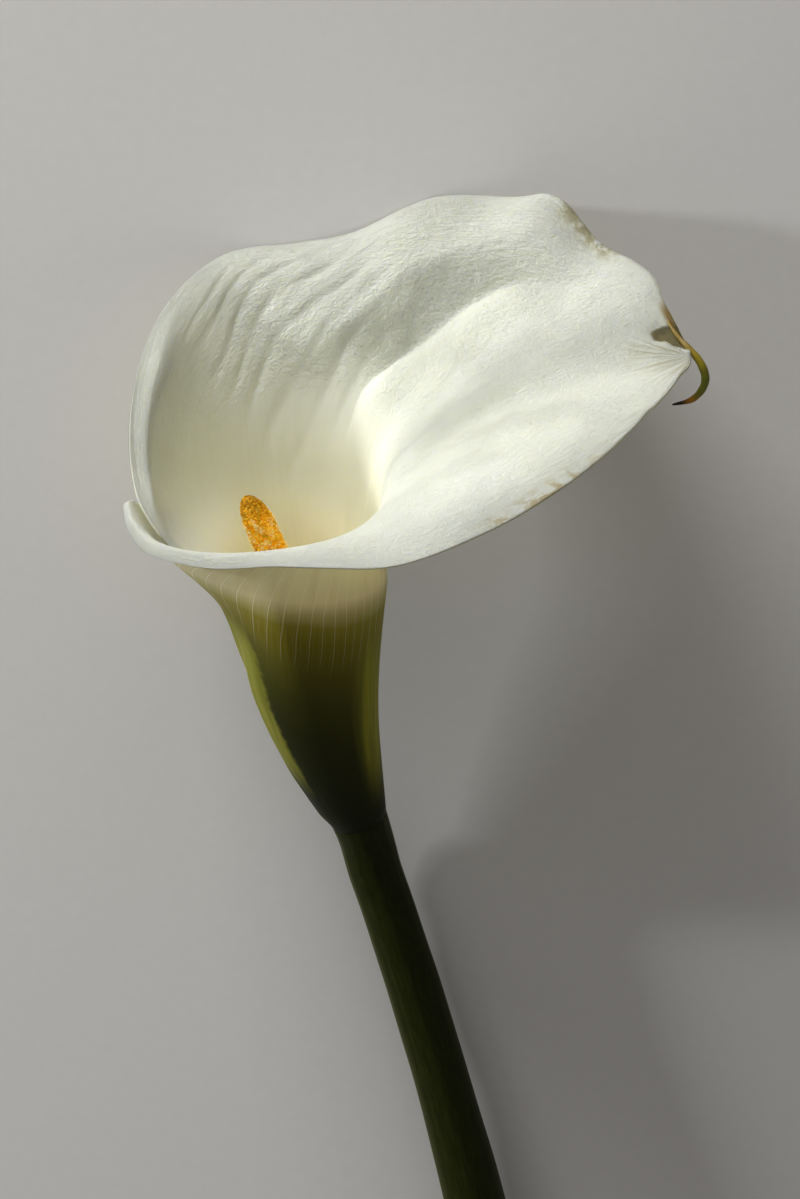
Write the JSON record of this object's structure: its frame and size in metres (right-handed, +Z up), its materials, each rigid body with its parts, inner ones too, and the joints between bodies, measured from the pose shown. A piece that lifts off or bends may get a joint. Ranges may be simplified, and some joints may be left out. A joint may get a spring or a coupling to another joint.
{
  "type": "calla lily flower",
  "caption": "Cut calla lily lying on its back: a green stem, a cream spathe rolled into a funnel with a hooked tip, and a yellow spadix inside.",
  "frame": {"origin": "on the surface that the flower lies on, under the middle of its box", "axes": "+Z up from the surface, +Y along the length towards the bloom, +X towards the side that the spathe's tip points to"},
  "size_m": [0.1474, 0.3591, 0.105],
  "materials": {
    "stem": "satin",
    "spathe": "satin",
    "pistils": "matte",
    "stamens": "matte"
  },
  "bodies": {
    "root": {"stem": "stem", "spathe": "spathe", "pistils": "pistils", "stamens": "stamens"}
  },
  "joints": []
}
